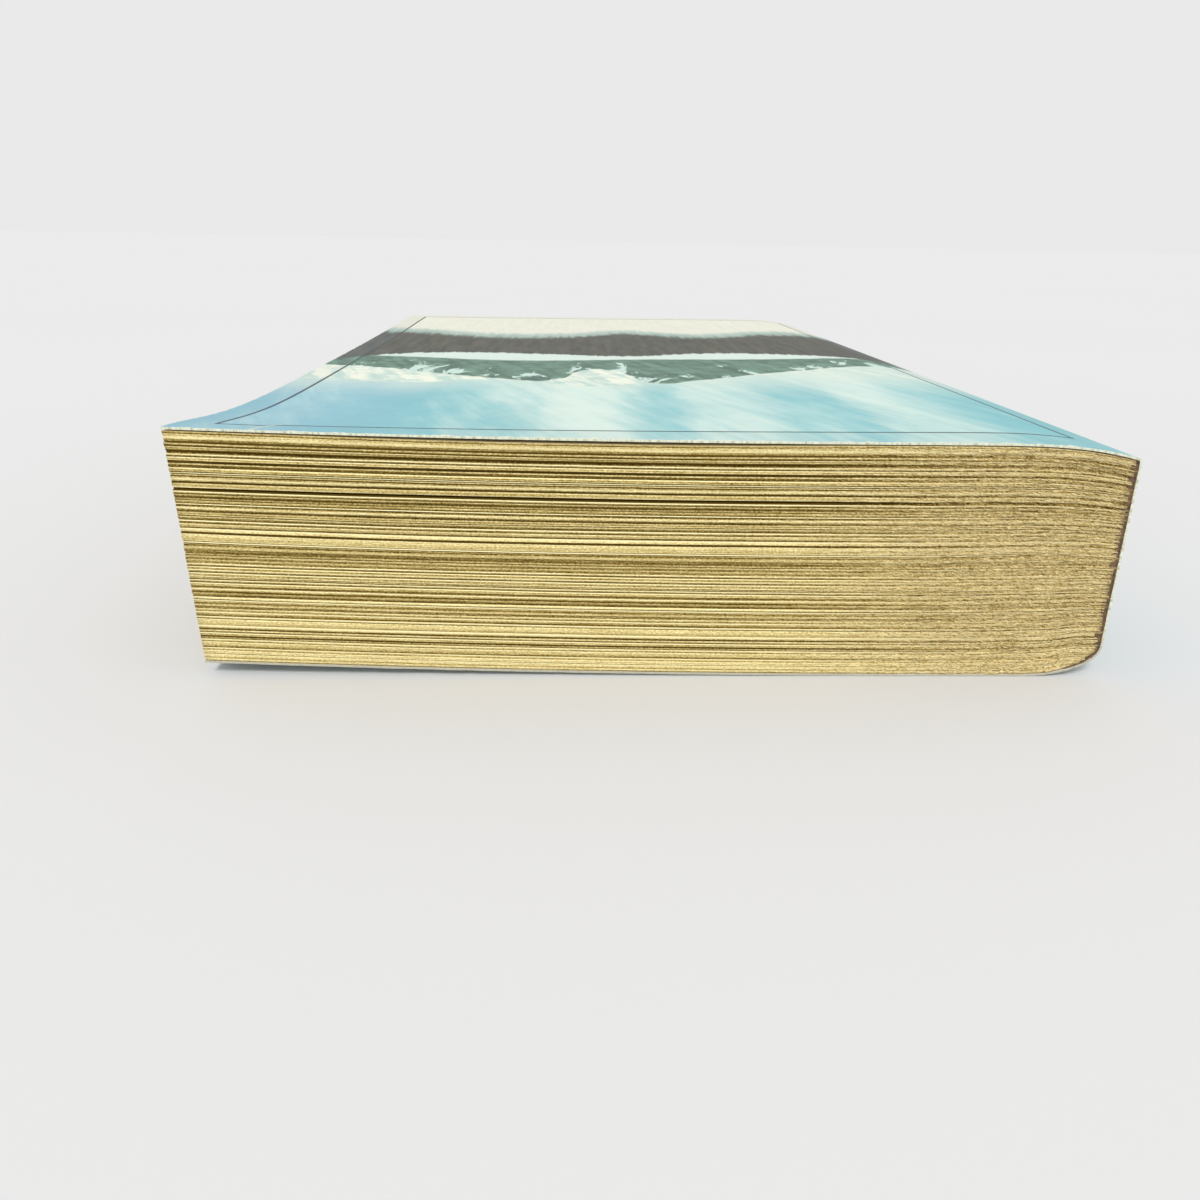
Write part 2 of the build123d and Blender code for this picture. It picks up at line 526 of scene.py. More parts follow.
def draw_mountains(s, p, picture):
    """Snowfield, dark slopes with snow in their gullies, and a pale shore in front of them."""
    rough_edge = s.times(s.add(p.ragged, -0.5), 10.0)
    mottled = s.add(p.ragged, p.brushed)
    snow = s.mix(s.above(mottled, 0.5, 0.2), rgb(176, 202, 194), rgb(230, 232, 214))
    snow_share = s.less(1.0, s.times(s.above(p.along, 84.0, 14.0), 0.6))
    past_snow = past_line(s, p, snow_line, 1.4, s.times(rough_edge, 0.7))
    picture = s.mix(s.times(past_snow, snow_share), picture, snow)

    rock = s.mix(s.above(mottled, 0.5, 0.25), rgb(58, 90, 76), rgb(100, 136, 118))
    gullies = s.noise(p.place, (0.16, 0.07), (5.0, 1.0), detail=4, roughness=0.62, distortion=0.8)
    down_slope = s.less(p.from_head, s.curve(p.along, sheet_middle, page_height, ridge_line))
    bare = s.above(s.add(gullies, s.times(down_slope, 0.006)), 0.44, 0.03)
    slopes = s.mix(bare, rgb(190, 214, 204), rock)
    picture = s.mix(past_line(s, p, ridge_line, 0.7, s.times(rough_edge, 0.35)), picture, slopes)
    past_shore = past_line(s, p, shore_line, 1.2, s.times(rough_edge, 0.3))
    return s.mix(past_shore, picture, rgb(204, 220, 210))


def draw_foreground(s, p, picture):
    """A dark line of trees, frosty ground and a pale foreground."""
    uneven = s.add(p.spikes, -0.5)
    spiky = s.times(uneven, 16.0)
    trees = s.mix(s.add(0.5, s.times(uneven, 2.4)), rgb(41, 43, 37), rgb(80, 79, 65))
    picture = s.mix(past_line(s, p, tree_line, 1.4, s.times(spiky, 0.4)), picture, trees)
    frost = s.mix(p.wisps, rgb(126, 156, 146), rgb(186, 202, 190))
    picture = s.mix(past_line(s, p, frost_line, 5.0, spiky), picture, frost)
    cream = s.mix(p.spikes, rgb(206, 206, 190), rgb(228, 227, 212))
    return s.mix(past_line(s, p, frost_line, 5.0, s.add(spiky, frost_depth)), picture, cream)


def pale_back(s, p, picture):
    """The picture pales over the back, with an empty panel where the words would be."""
    on_back = s.above(p.across, sheet_length - back_length - 4.0, 3.0)
    picture = s.mix(s.times(on_back, 0.72), picture, rgb(214, 218, 206))
    panel = s.between(p.across, sheet_length - panel_spine, sheet_length - panel_fore, 0.6)
    panel = s.times(panel, s.between(p.from_head, panel_head, panel_tail, 0.6))
    return s.mix(s.times(panel, 0.8), picture, rgb(226, 230, 220))


def frame_line_mask(s, p):
    """1 inside the print's frame, and 1 on its line."""
    low, high = line_fore, line_spine
    side = s.between(p.along, low, high, line_blur)
    head_line = s.add(line_head, s.times(p.along, line_skew))
    buckled = s.between(p.across, line_fore, crease_start + 1.5, 0.3)
    past_corner = s.times(s.add(p.across, -line_fore), -line_buckle)
    head_line = s.add(head_line, s.times(buckled, past_corner))
    tail_line = page_height - line_tail
    inside = s.times(side, s.between(p.from_head, head_line, tail_line, line_blur))
    wide_side = s.between(p.along, low - line_width, high + line_width, line_blur)
    wide = s.between(p.from_head, s.add(head_line, -line_width), tail_line + line_width, line_blur)
    return inside, s.math("SUBTRACT", s.times(wide_side, wide), inside, clamp=True)


def draw_frame(s, p, picture):
    """A slightly deeper margin and the thin dark line that frames the picture."""
    inside, line = frame_line_mask(s, p)
    picture = s.mix(s.times(s.less(1.0, inside), 0.10), picture, rgb(96, 128, 140))
    return s.mix(s.times(line, 0.95), picture, rgb(22, 46, 56))


def corner_crease(s, p):
    """1 on a short crease that runs in from the head's edge near the front's corner."""
    bow = s.times(s.math("POWER", s.math("MAXIMUM", p.from_head, 0.0), 1.5), 0.14)
    off_line = s.math("ABSOLUTE", s.less(p.across, s.add(bow, crease_start)))
    ridge = s.less(1.0, s.above(off_line, 0.35, 0.35))
    return s.times(ridge, s.less(1.0, s.above(p.from_head, crease_reach, 3.0)))


def worn_share(s, p, crease):
    """1 where the print has chipped off along the cut edges or rubbed pale on the folds."""
    chips = s.noise(p.place, (0.5, 0.4), detail=5, roughness=0.72)
    edge = s.math("MINIMUM", p.from_head, s.less(page_height, p.from_head))
    from_side = s.math("MINIMUM", p.across, s.less(sheet_length, p.across))
    edge = s.math("MINIMUM", edge, s.add(0.25, s.times(from_side, 2.0)))
    reach = s.add(0.12, s.times(s.above(chips, 0.57, 0.12), 0.8))
    bare_card = s.less(1.0, s.above(edge, reach, 0.15))
    rubbed = s.times(p.wear, s.above(chips, 0.5, 0.12))
    rubbed = s.math("MAXIMUM", rubbed, s.times(crease, 0.75))
    return s.math("MAXIMUM", bare_card, s.times(rubbed, 0.8), clamp=True)


def card_material():
    """The printed outside: sky, snow slopes, a treeline and a pale foreground inside a thin frame."""
    s = Shader("printed_card")
    p = print_places(s)
    picture = draw_foreground(s, p, draw_mountains(s, p, draw_sky(s, p)))
    picture = draw_frame(s, p, pale_back(s, p, picture))

    crease = corner_crease(s, p)
    worn = worn_share(s, p, crease)
    colour = s.mix(worn, picture, rgb(220, 222, 206))
    grimy = s.times(s.above(p.ragged, 0.55, 0.15), 0.06)
    colour = s.mix(grimy, colour, rgb(150, 146, 120))
    colour = s.mix(s.times(s.add(p.grain, -0.5), 0.08), colour, rgb(255, 255, 255))

    roughness = s.add(s.add(0.38, s.times(p.ragged, 0.16)), s.times(worn, 0.4))
    dents = s.noise(p.place, (0.035, 0.03))
    normal = s.bump(worn, 0.6, -0.08)
    normal = s.bump(p.grain, 0.12, 0.05, normal)
    normal = s.bump(dents, 0.35, 2.0, normal)
    normal = s.bump(crease, 1.0, 0.3, normal)
    gloss = {"Specular_IOR_Level": 0.1, "Coat_Weight": 0.02, "Coat_Roughness": 0.2}
    return s.finish(colour, roughness, normal, **gloss)


def card_inside_material():
    """The bare inside of the cover."""
    s = Shader("card_inside")
    place = s.kept("print")
    cloudy = s.noise(place, (0.02, 0.02))
    fibres = s.noise(place, (1.1, 1.1), detail=4, roughness=0.7)
    colour = s.mix(cloudy, rgb(234, 231, 219), rgb(226, 220, 202))
    colour = s.mix(s.times(fibres, 0.1), colour, rgb(176, 162, 128))
    return s.finish(colour, 0.78, s.bump(fibres, 0.2, 0.04))


def card_edge_material():
    """The cut edge of the card: white core, fuzzy, and painted grey along the back, as shade where the
    book lies on the floor.
    """
    s = Shader("card_cut_edge")
    place = s.kept("print")
    across = s.parts(place)[0]
    fuzz = s.noise(place, (1.4, 1.4), detail=4, roughness=0.7)
    clean = s.mix(s.above(fuzz, 0.55, 0.15), rgb(220, 224, 204), rgb(160, 156, 118))
    # Painted shade: the back's cut edge is painted a darker grey where the book lies on the floor.
    back_edge_shade = s.mix(fuzz, rgb(140, 138, 120), rgb(206, 204, 184))
    on_back = s.above(across, sheet_length - back_length - 6.0, 5.0)
    return s.finish(s.mix(on_back, clean, back_edge_shade), 0.9, s.bump(fuzz, 0.6, 0.08), Specular_IOR_Level=0.2)


# ---------------- the leaves

leaf_count = 230
edge_rows = 2 * leaf_count  # along the lower and the upper side of each leaf's edge
head_columns = 70
fore_columns = 34
edge_columns = 2 * head_columns + fore_columns
page_columns = head_columns - 1  # across a whole page, up to the vertices on its fore-edge
fore_places = np.linspace(head_y, tail_y, fore_columns + 2)[1:-1]
edge_inset = 0.06  # trimmed edges behind the cover's edge
leaf_bite = 0.3  # how far the leaves reach into the glue
leaf_end_inset = glued_inset - leaf_bite
last_rise_x = 62.0  # the leaves stop bending up here, and end at the glue instead
open_front = 0.26  # how far the first leaves lie open under the front cover
open_front_shut = -60.0, -20.0, 0.0, 34.0  # across the book: shut, open, open, shut again
settled = 0.14  # how far the last leaves have sunk towards the back cover
settled_fade = 60.0, 45.0  # across the book: not at all, fully
swell = 0.3  # of the middle leaves near the spine
swell_fade = 35.0, 60.0  # across the book: none, full

# Unevenness, in millimetres unless it is a share
gather_leaves = (3, 6)  # fewest leaves that hang together, and one more than the most
head_uneven = 0.012, 0.045, 0.02  # of whole gatherings, from leaf to leaf in one, of single leaves
fore_uneven = 0.02, 0.02, 0.012
tail_uneven = 0.04, 0.05, 0.03
gap_at_fore, gap_at_tail = 0.1, 0.5  # share of each gap's depth that shows there
leaf_end_jitter = 0.05
fibre_start, fibre_full = 8.0, 52.0  # where, across the book, the edge turns from lines to fibres
fibre_evens = 0.65  # share of the leaves' unevenness that is lost among fibres
corner_evens, corner_run = 0.65, 8.0  # the same at the bent-up corner, and how far it runs
# Waves of the edges and of the leaves: how far they reach, then their size in leaves and millimetres
long_wave, short_wave = (0.03, 3.0, 34.0), (0.02, 1.5, 7.0)
tufts, more_among_fibres = (0.02, 1.3, 1.4), 0.18
long_sag, short_sag = (0.10, 45.0, 48.0), (0.03, 6.0, 16.0)

# How light the edges are: a tone of 0 is darkest and 1 lightest, partly painted shade and highlight
middle_tone = 0.45
painted_feature_shading = 0.9  # painted highlight per millimetre that a marked leaf stands out, painted shade per millimetre sunk
tone_spread = 0.10
light_leaf_share, light_leaf_tone = 0.12, 0.30
# Share of the painted highlight on each gathering's lead leaf and painted shade on those behind it
painted_gather_shading_share = 0.45
fibre_evens_tone = 0.5
fibre_lightens = 0.29
leaf_rise, gap_rise = 0.2, 0.05  # height of a leaf and of a gap in the material's pattern

# Texture map: sizes and places of its parts
edge_map, edge_map_place = (0.97, 0.68), 0.01
spine_map_end, spine_map_width = 0.99, 0.004
page_map, page_map_places = (0.46, 0.26), ((0.02, 0.71), (0.51, 0.71))

# Gaps between leaves that stand open, from the back up: share of the block's height, leaves, depth; the
# depth also sets their painted shade
open_gaps = (
    (0.114, 1, 0.24), (0.257, 1, 0.26), (0.307, 1, 0.24), (0.342, 1, 0.16), (0.387, 1, 0.24),
    (0.455, 1, 0.16), (0.475, 1, 0.20), (0.498, 2, 0.32), (0.534, 1, 0.36), (0.603, 1, 0.34),
    (0.638, 1, 0.22), (0.671, 1, 0.28), (0.699, 1, 0.26), (0.731, 1, 0.26), (0.766, 2, 0.60),
    (0.794, 1, 0.40), (0.828, 1, 0.40), (0.857, 1, 0.20), (0.873, 1, 0.26), (0.917, 3, 0.50),
    (0.954, 1, 0.40),
)
# Groups of leaves that stand proud, the same way; how far they stand out also sets their painted
# highlight
proud_groups = (
    (0.012, 1, 0.10), (0.046, 3, 0.16), (0.088, 1, 0.10), (0.123, 1, 0.08), (0.187, 4, 0.12),
    (0.296, 1, 0.14), (0.317, 1, 0.16), (0.355, 2, 0.12), (0.397, 1, 0.12), (0.428, 2, 0.14),
    (0.520, 3, 0.12), (0.559, 5, 0.15), (0.590, 1, 0.12), (0.660, 1, 0.16), (0.687, 1, 0.16),
    (0.778, 2, 0.12), (0.812, 1, 0.16), (0.842, 2, 0.16), (0.887, 1, 0.16), (0.939, 1, 0.12),
    (0.984, 3, 0.14),
)

# How much lighter or darker the leaves are than the rest at each share of the block's height
broad_shade = (
    (0.00, 0.32), (0.05, 0.15), (0.11, -0.08), (0.19, 0.11), (0.27, -0.04), (0.32, 0.12),
    (0.42, -0.09), (0.47, 0.04), (0.57, 0.03), (0.63, 0.06), (0.69, -0.15), (0.74, -0.21),
    (0.80, -0.13), (0.87, -0.29), (0.95, -0.09), (1.00, 0.18),
)


def leaf_levels(rng):
    """Height shares of the faces between leaves, of slightly uneven leaves."""
    widths = rng.uniform(0.8, 1.2, leaf_count)
    return np.concatenate([[0.0], np.cumsum(widths) / widths.sum()])


def gathered(rng, spread, fan):
    """How far leaves stand out, and their painted light: in a gathering the top leaf leads and is
    painted lighter, as highlight, the leaves behind it darker, as shade.
    """
    out, tone = np.zeros(leaf_count), np.zeros(leaf_count)
    start = 0
    while start < leaf_count:
        count = int(rng.integers(*gather_leaves))
        shift = rng.normal(0, spread)
        step = fan * rng.uniform(0.4, 1.6)
        contrast = rng.uniform(0.5, 1.7)
        leaves = np.arange(start, min(start + count, leaf_count))
        out[leaves] = shift - step * (leaves[-1] - leaves)
        tone[leaves] = contrast * np.linspace(-1, 1, count)[: len(leaves)]
        start += count
    return out - out.mean(), tone


def at_features(features, middles, sign):
    """Gives each listed feature's amount to the leaves nearest its height."""
    out = np.zeros(leaf_count)
    for height, leaves, amount in features:
        nearest = np.argsort(abs(middles - height))[:leaves]
        out[nearest] = sign * amount
    return out


def uneven_leaves(rng, spread, fan, single):
    """How far leaves stand out at random, and the painted highlight and shade of their gatherings."""
    out, tone = gathered(rng, spread, fan)
    return out + rng.normal(0, single, leaf_count), tone


def leaf_offsets(rng, levels):
    """How far each leaf stands out at the head, the fore-edge, the tail and the glue, and its tone with
    painted shade and highlight.
    """
    middles = (levels[:-1] + levels[1:]) / 2
    gaps = at_features(open_gaps, middles, -1)
    proud = at_features(proud_groups, middles, 1)
    marked = (gaps != 0) | (proud != 0)
    plain_head, painted_gather_shading = uneven_leaves(rng, *head_uneven)
    fore = uneven_leaves(rng, *fore_uneven)[0] + gap_at_fore * gaps
    tail = uneven_leaves(rng, *tail_uneven)[0] + gap_at_tail * gaps
    end = rng.normal(0, leaf_end_jitter, leaf_count)
    light_leaf = rng.random(leaf_count) < light_leaf_share
    # Painted shade on sunk leaves and painted highlight on proud ones, added to the random tone.
    tone = middle_tone + np.interp(middles, *zip(*broad_shade)) + painted_feature_shading * (gaps + proud)
    tone = tone + rng.normal(0, tone_spread, leaf_count) + light_leaf_tone * light_leaf
    # Painted highlight on each gathering's lead leaf, painted shade on the leaves behind it.
    tone = tone + np.where(marked, 0, painted_gather_shading_share * painted_gather_shading)
    head = np.where(marked, gaps + proud, plain_head)
    return SimpleNamespace(head=head, fore=fore, tail=tail, end=end, tone=tone)


def per_row(values):
    """A column with one value for each row of vertices, from one for each leaf."""
    return np.repeat(values, 2)[:, None]


def trimmed_outline(up, out):
    """The way of each row: from the glue along the head, fore-edge and tail, back to the glue."""
    left = fore_x + edge_inset - per_row(out.fore)
    flat_z = leaf_inset + up * (crest_height - spine_drop - 2 * leaf_inset)
    end_z = flat_z + round_rise(np.array(last_rise_x), leaf_end_inset, leaf_inset) * (1 - up) ** 3
    share_up = ((end_z - leaf_inset) / (lower_round_height - leaf_inset)).clip(0, 1)
    end_x = round_x + (lower_round_width - leaf_end_inset) * np.sqrt(1 - (1 - share_up) ** 2)
    right = end_x + per_row(out.end)
    # The vertices lie closer together at the spine.
    share = np.linspace(0, 1, head_columns)
    across = right + (left - right) * (0.45 * share + 0.55 * share**2)
    x = np.concatenate([across, np.repeat(left, fore_columns, 1), across[:, ::-1]], 1)
    head_line = np.full(head_columns, head_y + edge_inset)
    tail_line = np.full(head_columns, tail_y - edge_inset)
    y = np.concatenate([head_line, fore_places, tail_line])
    return x, np.repeat(y[None], edge_rows, 0)


def waves(rng, run, reach, leaves, length):
    """Random waves along and across the leaves, of the given reach and size."""
    return reach * drift(rng, per_row(np.arange(leaf_count)), run, leaves, length)


def loosened(rng, x, y, run, out, fibrous):
    """The same way once the leaves stand in and out, wave and fray into tufts."""
    loose = waves(rng, run, *long_wave) + waves(rng, run, *short_wave)
    reach, *size = tufts
    loose = loose + waves(rng, run, reach + more_among_fibres * fibrous, *size)
    slack = 1 - fibre_evens * fibrous
    at_corner = 1 - corner_evens + corner_evens * smoothstep(fore_x, fore_x + corner_run, x)
    on_head = np.arange(edge_columns) < head_columns
    on_tail = on_head[::-1]
    y = y - np.where(on_head, per_row(out.head) * slack * at_corner + loose, 0)
    y = y + np.where(on_tail, per_row(out.tail) * slack + loose, 0)
    return x - np.where(on_head | on_tail, 0, loose), y


def open_share(x):
    first, opened, closing, last = open_front_shut
    return smoothstep(first, opened, x) * smoothstep(last, closing, x)


def stacked_height(rng, x, y, run, up):
    """Height of the vertices: evenly between the covers, then bent to them, sagging and swollen."""
    bottom = lift_height(x, y) + leaf_inset - settled * smoothstep(*settled_fade, x)
    top = crown_height(x, y) - leaf_inset
    bent = round_rise(np.minimum(x, last_rise_x), leaf_end_inset, leaf_inset) * (1 - up) ** 3
    bent = bent - spine_dip(x) * up**2.5
    bent = bent - open_front * open_share(x) * up**12
    sag = waves(rng, run, *long_sag) + waves(rng, run, *short_sag)
    swollen = sag + swell * smoothstep(*swell_fade, x)
    return bottom + (top - bottom) * up + bent + swollen * 4 * up * (1 - up)


def page_inside(x, upper):
    """Points within the blank outer page of the first leaf (upper) or the last, and its paper."""
    x, y = [places.ravel() for places in np.meshgrid(x, fore_places, indexing="ij")]
    if upper:
        z = front_height(x, y) - leaf_inset - open_front * open_share(x)
    else:
        z = back_height(np.minimum(x, last_rise_x), y, leaf_end_inset, leaf_inset)
        z = z - settled * smoothstep(*settled_fade, x)
    from_edge = np.minimum(np.minimum(y - head_y, tail_y - y), x - fore_x)
    yellow = 0.15 + 0.6 * np.exp(-from_edge / 9.0)
    return placed(x, y, z), np.stack([x, y, yellow], -1)


def page_faces(ring, next_ring, start):
    """Faces of a page inside its ring, and of the spine between it and the next ring."""
    inner = start + np.arange(page_columns * fore_columns).reshape(page_columns, fore_columns)
    grid = np.concatenate([ring[:page_columns, None], inner, ring[::-1][:page_columns, None]], 1)
    grid = np.concatenate([grid, ring[None, page_columns:-page_columns]])
    line = np.append(grid[0], next_ring[-1])
    first = np.arange(0, len(line) - 2, 2)
    corner = np.full(len(first), next_ring[0])
    return quads(grid), np.stack([corner, line[first], line[first + 1], line[first + 2]], -1)


def leaf_faces():
    """Faces of the leaves' edges, of their spine and of the two blank pages."""
    number = np.arange(edge_rows * edge_columns).reshape(edge_rows, edge_columns)
    spine = np.stack([number[1:-2, 0], number[1:-2, -1], number[2:-1, -1], number[2:-1, 0]], -1)
    last_page, last_strip = page_faces(number[0], number[1], number.size)
    upper_start = number.size + page_columns * fore_columns
    first_page, first_strip = page_faces(number[-1], number[-2], upper_start)
    spine = np.concatenate([spine, last_strip, first_strip[:, ::-1]])
    return quads(number)[:, ::-1], spine, np.concatenate([last_page[:, ::-1], first_page])


def leaf_layout(points, edge, spine, pages, run, rise):
    """Texture map: the edge unrolled, the spine as a narrow strip at its end, and the two pages."""
    u = run / run[-1] * edge_map[0] + edge_map_place
    v = rise / rise[-1] * edge_map[1] + edge_map_place
    spots = np.stack(np.meshgrid(u, v), -1)
    by_pages = np.repeat(spots[[0, -1], 0], page_columns * fore_columns, 0)
    spots = np.concatenate([spots.reshape(-1, 2), by_pages])
    spine_spots = spots[spine]
    from_head = (points[spine][..., 1] - head_y) / page_height
    spine_spots[..., 0] = spine_map_end - spine_map_width * from_head
    scale = page_map[0] / page_height, page_map[1] / (2 * spine_x)
    page_spots = (points[pages][..., [1, 0]] - (head_y, fore_x)) * scale
    page_spots = page_spots + np.repeat(page_map_places, len(pages) // 2, 0)[:, None]
    return np.concatenate([spots[edge], spine_spots, page_spots])


def edge_paper(run, rise, tone, fibrous):
    """What the material draws the edges from: distance along the edge, height and tone, which holds
    painted shade and highlight.
    """
    even = 0.5 + (per_row(tone) - 0.5) * (1 - fibre_evens_tone * fibrous) + fibre_lightens * fibrous
    return np.stack([*np.meshgrid(run, rise), even], -1).reshape(-1, 3)


def build_leaves():
    """All the leaves as one closed mesh, with every leaf's edge drawn by itself."""
    rng = np.random.default_rng(11)
    levels = leaf_levels(rng)
    out = leaf_offsets(rng, levels)
    up = np.stack([levels[:-1], levels[1:]], 1).reshape(-1, 1)
    x, y = trimmed_outline(up, out)
    run = run_along(x.mean(0), y.mean(0))
    fibrous = smoothstep(fibre_start, fibre_full, x)
    x, y = loosened(rng, x, y, run, out, fibrous)
    z = stacked_height(rng, x, y, run, up)
    rise = np.concatenate([[0.0], np.cumsum(np.tile((leaf_rise, gap_rise), leaf_count)[:-1])])

    last_points, last_paper = page_inside(x[0, :page_columns], False)
    first_points, first_paper = page_inside(x[-1, :page_columns], True)
    points = np.concatenate([placed(x, y, z), last_points, first_points])
    paper = np.concatenate([edge_paper(run, rise, out.tone, fibrous), last_paper, first_paper])
    parts = leaf_faces()
    indices = np.repeat([0, 0, 1], [len(part) for part in parts])
    materials = [page_edge_material(), page_face_material()]
    piece = new_mesh("leaves", points, np.concatenate(parts), materials, indices)
    in_pages = len(points) - x.size
    keep(piece, "paper", paper)
    keep(piece, "fibrous", np.append(fibrous, np.zeros(in_pages)))
    row_of = np.repeat(np.arange(edge_rows), edge_columns)
    crease_between(piece, np.append(row_of, np.full(in_pages, -1)))
    lay_out(piece, leaf_layout(points, *parts, run, rise))
    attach(piece, "book_block")
    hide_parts("text_block")


# ---------------- the card cover

fold_half = 0.9  # half the width of card that bends at each crease
seam_x = 63.0  # where the back's strip meets the spine's piece, under the lower round
seam_angle = math.asin((seam_x - round_x) / lower_round_width)
edge_fray, fray_step, fray_depth = 0.05, 1.3, 1.2  # of the cut edges: reach, columns, depth
fold_rub = 0.75  # wear of the fold between the front and the spine
card_rows = 60

# Texture map: size and places of the printed and the plain face, and width of the cut edges
card_map, printed_map_place, plain_map_place = (0.46, 0.96), (0.02, 0.02), (0.52, 0.02)
cut_map_width = 0.008


def card_stations():
    """Where the rows lie along the book, closer together at both cut edges."""
    u = np.linspace(-1, 1, card_rows)
    return head_y + page_height * (0.5 + 0.5 * np.sin(u * math.pi / 2) * 0.72 + 0.14 * u)


def front_path(y, inset):
    """Across the front, with the vertices close together at the crease."""
    broad = np.linspace(fore_x, hinge_x - fold_half, 150)
    bending = np.linspace(hinge_x - fold_half, hinge_x + fold_half, 15)[1:]
    x = np.concatenate([broad, bending, np.linspace(hinge_x + fold_half, fold_x, 9)[1:]])
    return x, front_height(x, y) - inset


def lower_turn(start, end, count, inset):
    """The round between the spine and the back, between two angles from straight down."""
    angle = np.linspace(start, end, count)
    x = round_x + (lower_round_width - inset) * np.sin(angle)
    return x, lower_round_height - (lower_round_height - inset) * np.cos(angle)


def round_spine(y, inset, counts, end_angle):
    """Down the spine: the fold from the front, the side, and the lower round as far as end_angle."""
    on_fold, on_side, on_round = counts
    radius = upper_round - inset
    angle = np.linspace(0, math.pi / 2, on_fold)
    start_z = front_height(np.array(fold_x), y) - inset
    fold = fold_x + radius * np.sin(angle), start_z - radius * (1 - np.cos(angle))
    side_z = np.linspace(start_z - radius, lower_round_height, on_side)[1:-1]
    side = np.full(len(side_z), spine_x - inset), side_z
    turn = lower_turn(math.pi / 2, end_angle, on_round, inset)
    return [np.concatenate(parts) for parts in zip(fold, side, turn)]


def spine_path(y, inset):
    return round_spine(y, inset, (9, 34, 14), seam_angle)


def back_path(y, inset):
    turn_x, turn_z = lower_turn(seam_angle, 0, 26, inset)
    x = np.linspace(round_x, fore_x, 140)
    flat_z = back_height(x, y) + inset
    return np.concatenate([turn_x[:-1], x]), np.concatenate([turn_z[:-1], flat_z])


def path_length(path):
    return float(run_along(*path(np.array(0.0), 0.0))[-1])


front_length = path_length(front_path)
spine_length = path_length(spine_path)
back_length = path_length(back_path)
sheet_length = front_length + spine_length + back_length
sheet_middle = front_length + spine_length / 2


def front_fold_wear(x, z):
    """Largest on the fold between the front and the spine, fading away from it."""
    corner_z = float(front_height(np.array(fold_x), 0.0))
    return fold_rub * np.exp(-((x - spine_x) ** 2 + (z - corner_z) ** 2))


def frayed(rng, stations, count):
    """Distance along the book of a card's vertices, with its cut edges at the head and tail frayed."""
    fray = drift(rng, np.arange(2)[:, None], np.arange(count), 1.0, fray_step)
    at_head = np.exp(-(stations - head_y) / fray_depth)[:, None]
    at_tail = np.exp(-(tail_y - stations) / fray_depth)[:, None]
    return stations[:, None] + edge_fray * (fray[0] * at_head + fray[1] * at_tail)


def card_layout(faces, ring, along, from_head):
    """Texture map: the printed face, the plain face beside it, and the cut edges round the first."""
    across = (along - along[0]) / (along[-1] - along[0])
    flat = np.stack(np.meshgrid(across, from_head / page_height), -1).reshape(-1, 2)
    places = [flat * card_map + place for place in (printed_map_place, plain_map_place)]
    spots = np.concatenate(places)[faces]
    # A rim face's first and last corners are on the outside, the others outwards from them.
    rim = slice(-len(ring), None)
    on_outside = faces[rim][:, [0, 0, 3, 3]]
    outwards = flat[on_outside] - 0.5
    outwards = np.sign(outwards) * (abs(outwards) > 0.499) * cut_map_width
    rim_spots = spots[rim][:, [0, 0, 3, 3]]
    rim_spots[:, 1:3] += outwards[:, 1:3]
    spots[rim] = rim_spots
    return spots


def build_card(name, path, start, seed, materials):
    """One panel of the cover: printed face, plain face and cut edges, from a path across the book."""
    stations = card_stations()
    outer, inner = [
        np.stack([path(np.array(y), inset) for y in stations], 1) for inset in (0.0, card_thickness)
    ]
    count = outer.shape[-1]
    y = frayed(np.random.default_rng(seed), stations, count)
    points = np.concatenate([placed(x, y, z) for x, z in (outer, inner)])
    faces, ring = shell_faces(card_rows, count)
    on_face = (len(faces) - len(ring)) // 2
    indices = np.repeat([0, 1, 2], [on_face, on_face, len(ring)])
    piece = new_mesh(name, points, faces, materials, indices)

    along = start + run_along(*outer[:, card_rows // 2])
    keep_print(piece, along, stations - head_y, front_fold_wear(*outer))
    line_of = np.full(len(points), -1)
    line_of[ring] = 1
    line_of[ring + card_rows * count] = 2
    crease_between(piece, line_of)
    lay_out(piece, card_layout(faces, ring, along, stations - head_y))
    return piece


def blend_at_crease(piece, height):
    """Bakes a cover card's placement into its mesh; the heights on both sides of the crease are worked
    out but not used.
    """
    at = hinge_x + np.array([-fold_half, fold_half])
    z = height(at, np.zeros(2))
    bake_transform(piece)


def build_cover():
    materials = [card_material(), card_inside_material(), card_edge_material()]
    front = build_card("front_card", front_path, 0.0, 21, materials)
    spine = build_card("spine_wrap", spine_path, front_length, 22, materials)
    back = build_card("back_card", back_path, front_length + spine_length, 23, materials)
    blend_at_crease(front, front_height)
    blend_at_crease(back, back_height)
    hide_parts("front_cover")
    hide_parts("back_cover")
    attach(spine, "book_block")
    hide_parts("cover_spine")


# ---------------- the glue

glue_reach = 5.0  # over the first and the last leaf
glue_lap = 0.28  # how far it laps between the ends of the leaves
glue_rows = 14
glue_ends = 0.12, 0.4, 2.0  # first rows, from the cut ends of the spine
glue_lumps = 0.06, 0.05  # unevenness of its depth and of its rows


def glue_line():
    """Round the spine, from over the first leaf to over the last, against the card."""
    y = np.array(0.0)
    over_x = np.linspace(spine_x - glue_reach, fold_x, 8)[:-1]
    over_z = front_height(over_x, y) - card_thickness
    end_angle = math.asin((spine_x - glue_reach - round_x) / lower_round_width)
    x, z = round_spine(y, card_thickness, (7, 120, 22), end_angle)
    return np.append(over_x, x), np.append(over_z, z)


def glue_stations():
    """Where the rows lie along the book, closer together at both ends."""
    ends, start = np.array(glue_ends[:-1]), glue_ends[-1]
    middle = np.linspace(head_y + start, tail_y - start, glue_rows - 2 * len(ends))
    return np.concatenate([head_y + ends, middle, tail_y - ends[::-1]])


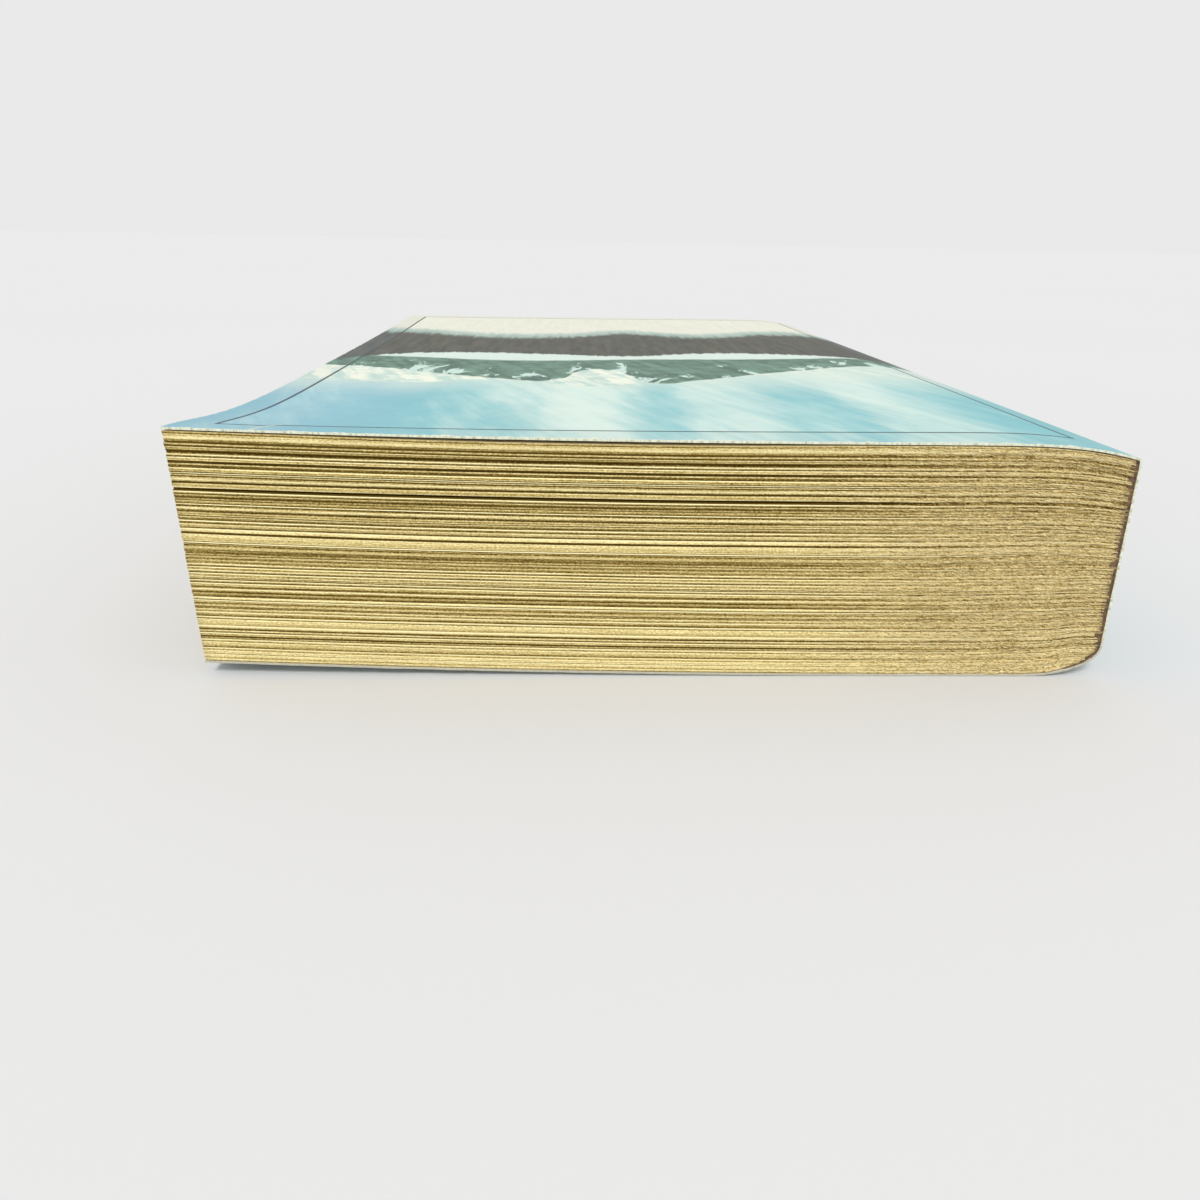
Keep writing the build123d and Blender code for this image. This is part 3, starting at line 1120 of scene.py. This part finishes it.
def build_glue():
    rng = np.random.default_rng(31)
    x, z = glue_line()
    run = run_along(x, z)
    inward_x, inward_z = np.gradient(z, run), -np.gradient(x, run)
    on_side = smoothstep(fold_x - 0.2, fold_x + 0.6, x)
    depth = cover_gap + (glue_thickness + glue_lap - cover_gap) * on_side
    stations = glue_stations()
    size = glue_rows, len(x)
    layers = []
    for inner in (0, 1):
        shift = (depth + glue_lumps[0] * rng.normal(size=size) * on_side) * inner
        uneven_y = stations[:, None] + glue_lumps[1] * rng.normal(size=size)
        layers.append(placed(x + inward_x * shift, uneven_y, z + inward_z * shift))
    piece = new_mesh("spine_glue", np.concatenate(layers), shell_faces(*size)[0], [glue_material()])
    keep_print(piece, run, stations - head_y, 0.0)
    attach(piece, "book_block")
    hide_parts("binding_glue")


build_leaves()
build_cover()
build_glue()

# ---------------- floor, light and camera

camera_place = (-14.03, -225.40, 60.41)
camera_yaw, camera_pitch, camera_roll = -2.47, -21.75, 1.15
camera_lens = 27.0
studio_glow = 0.82  # of the pale room all round
floor_grey = 0.653  # so that the lit floor and the room meet without an edge
floor_half, floor_gap = 60.0, 0.00003  # in metres: half its width, and how far it lies below the book
key_light = -14.0, 47.0, 1.9, 16.0  # its azimuth, height, strength and softness


def add_floor():
    s = Shader("studio_floor")
    place = s.node("ShaderNodeTexCoord").outputs["Object"]
    cloudy = s.noise(place, (3, 3), detail=3)
    grey, lighter = [(floor_grey * share,) * 3 + (1,) for share in (1, 1.02)]
    material = s.finish(s.mix(cloudy, grey, lighter), 0.9, Specular_IOR_Level=0.0)
    low, high, z = -floor_half, floor_half, cad_box[0].z - floor_gap
    corners_at = [(low, low, z), (high, low, z), (high, high, z), (low, high, z)]
    mesh = bpy.data.meshes.new("studio_floor")
    mesh.from_pydata(corners_at, [], [(0, 1, 2, 3)])
    mesh.materials.append(material)
    floor = new_object("studio_floor", mesh)


def turn(degrees, axis):
    return Matrix.Rotation(math.radians(degrees), 4, axis)


def add_sun(name, azimuth, height, strength, softness):
    """Distant soft lamp, in degrees round from the head side and above the floor."""
    light = bpy.data.lights.new(name, "SUN")
    light.energy, light.angle = strength, math.radians(softness)
    new_object(name, light).matrix_world = turn(azimuth, "Z") @ turn(90 - height, "X")


def add_world():
    world = bpy.data.worlds.new("studio")
    world.use_nodes = True
    background = world.node_tree.nodes["Background"]
    background.inputs["Color"].default_value = (1.0, 1.0, 1.0, 1.0)
    background.inputs["Strength"].default_value = studio_glow
    bpy.context.scene.world = world


def add_camera():
    data = bpy.data.cameras.new("camera")
    data.lens = camera_lens
    data.clip_start = 0.01
    camera = new_object("camera", data)
    aim = turn(camera_yaw, "Z") @ turn(90 + camera_pitch, "X") @ turn(camera_roll, "Z")
    camera.matrix_world = Matrix.Translation(Vector(camera_place) * MM) @ aim
    bpy.context.scene.camera = camera


add_floor()
add_world()
add_sun("key_light", *key_light)
add_camera()
bpy.context.scene.view_settings.view_transform = "Standard"
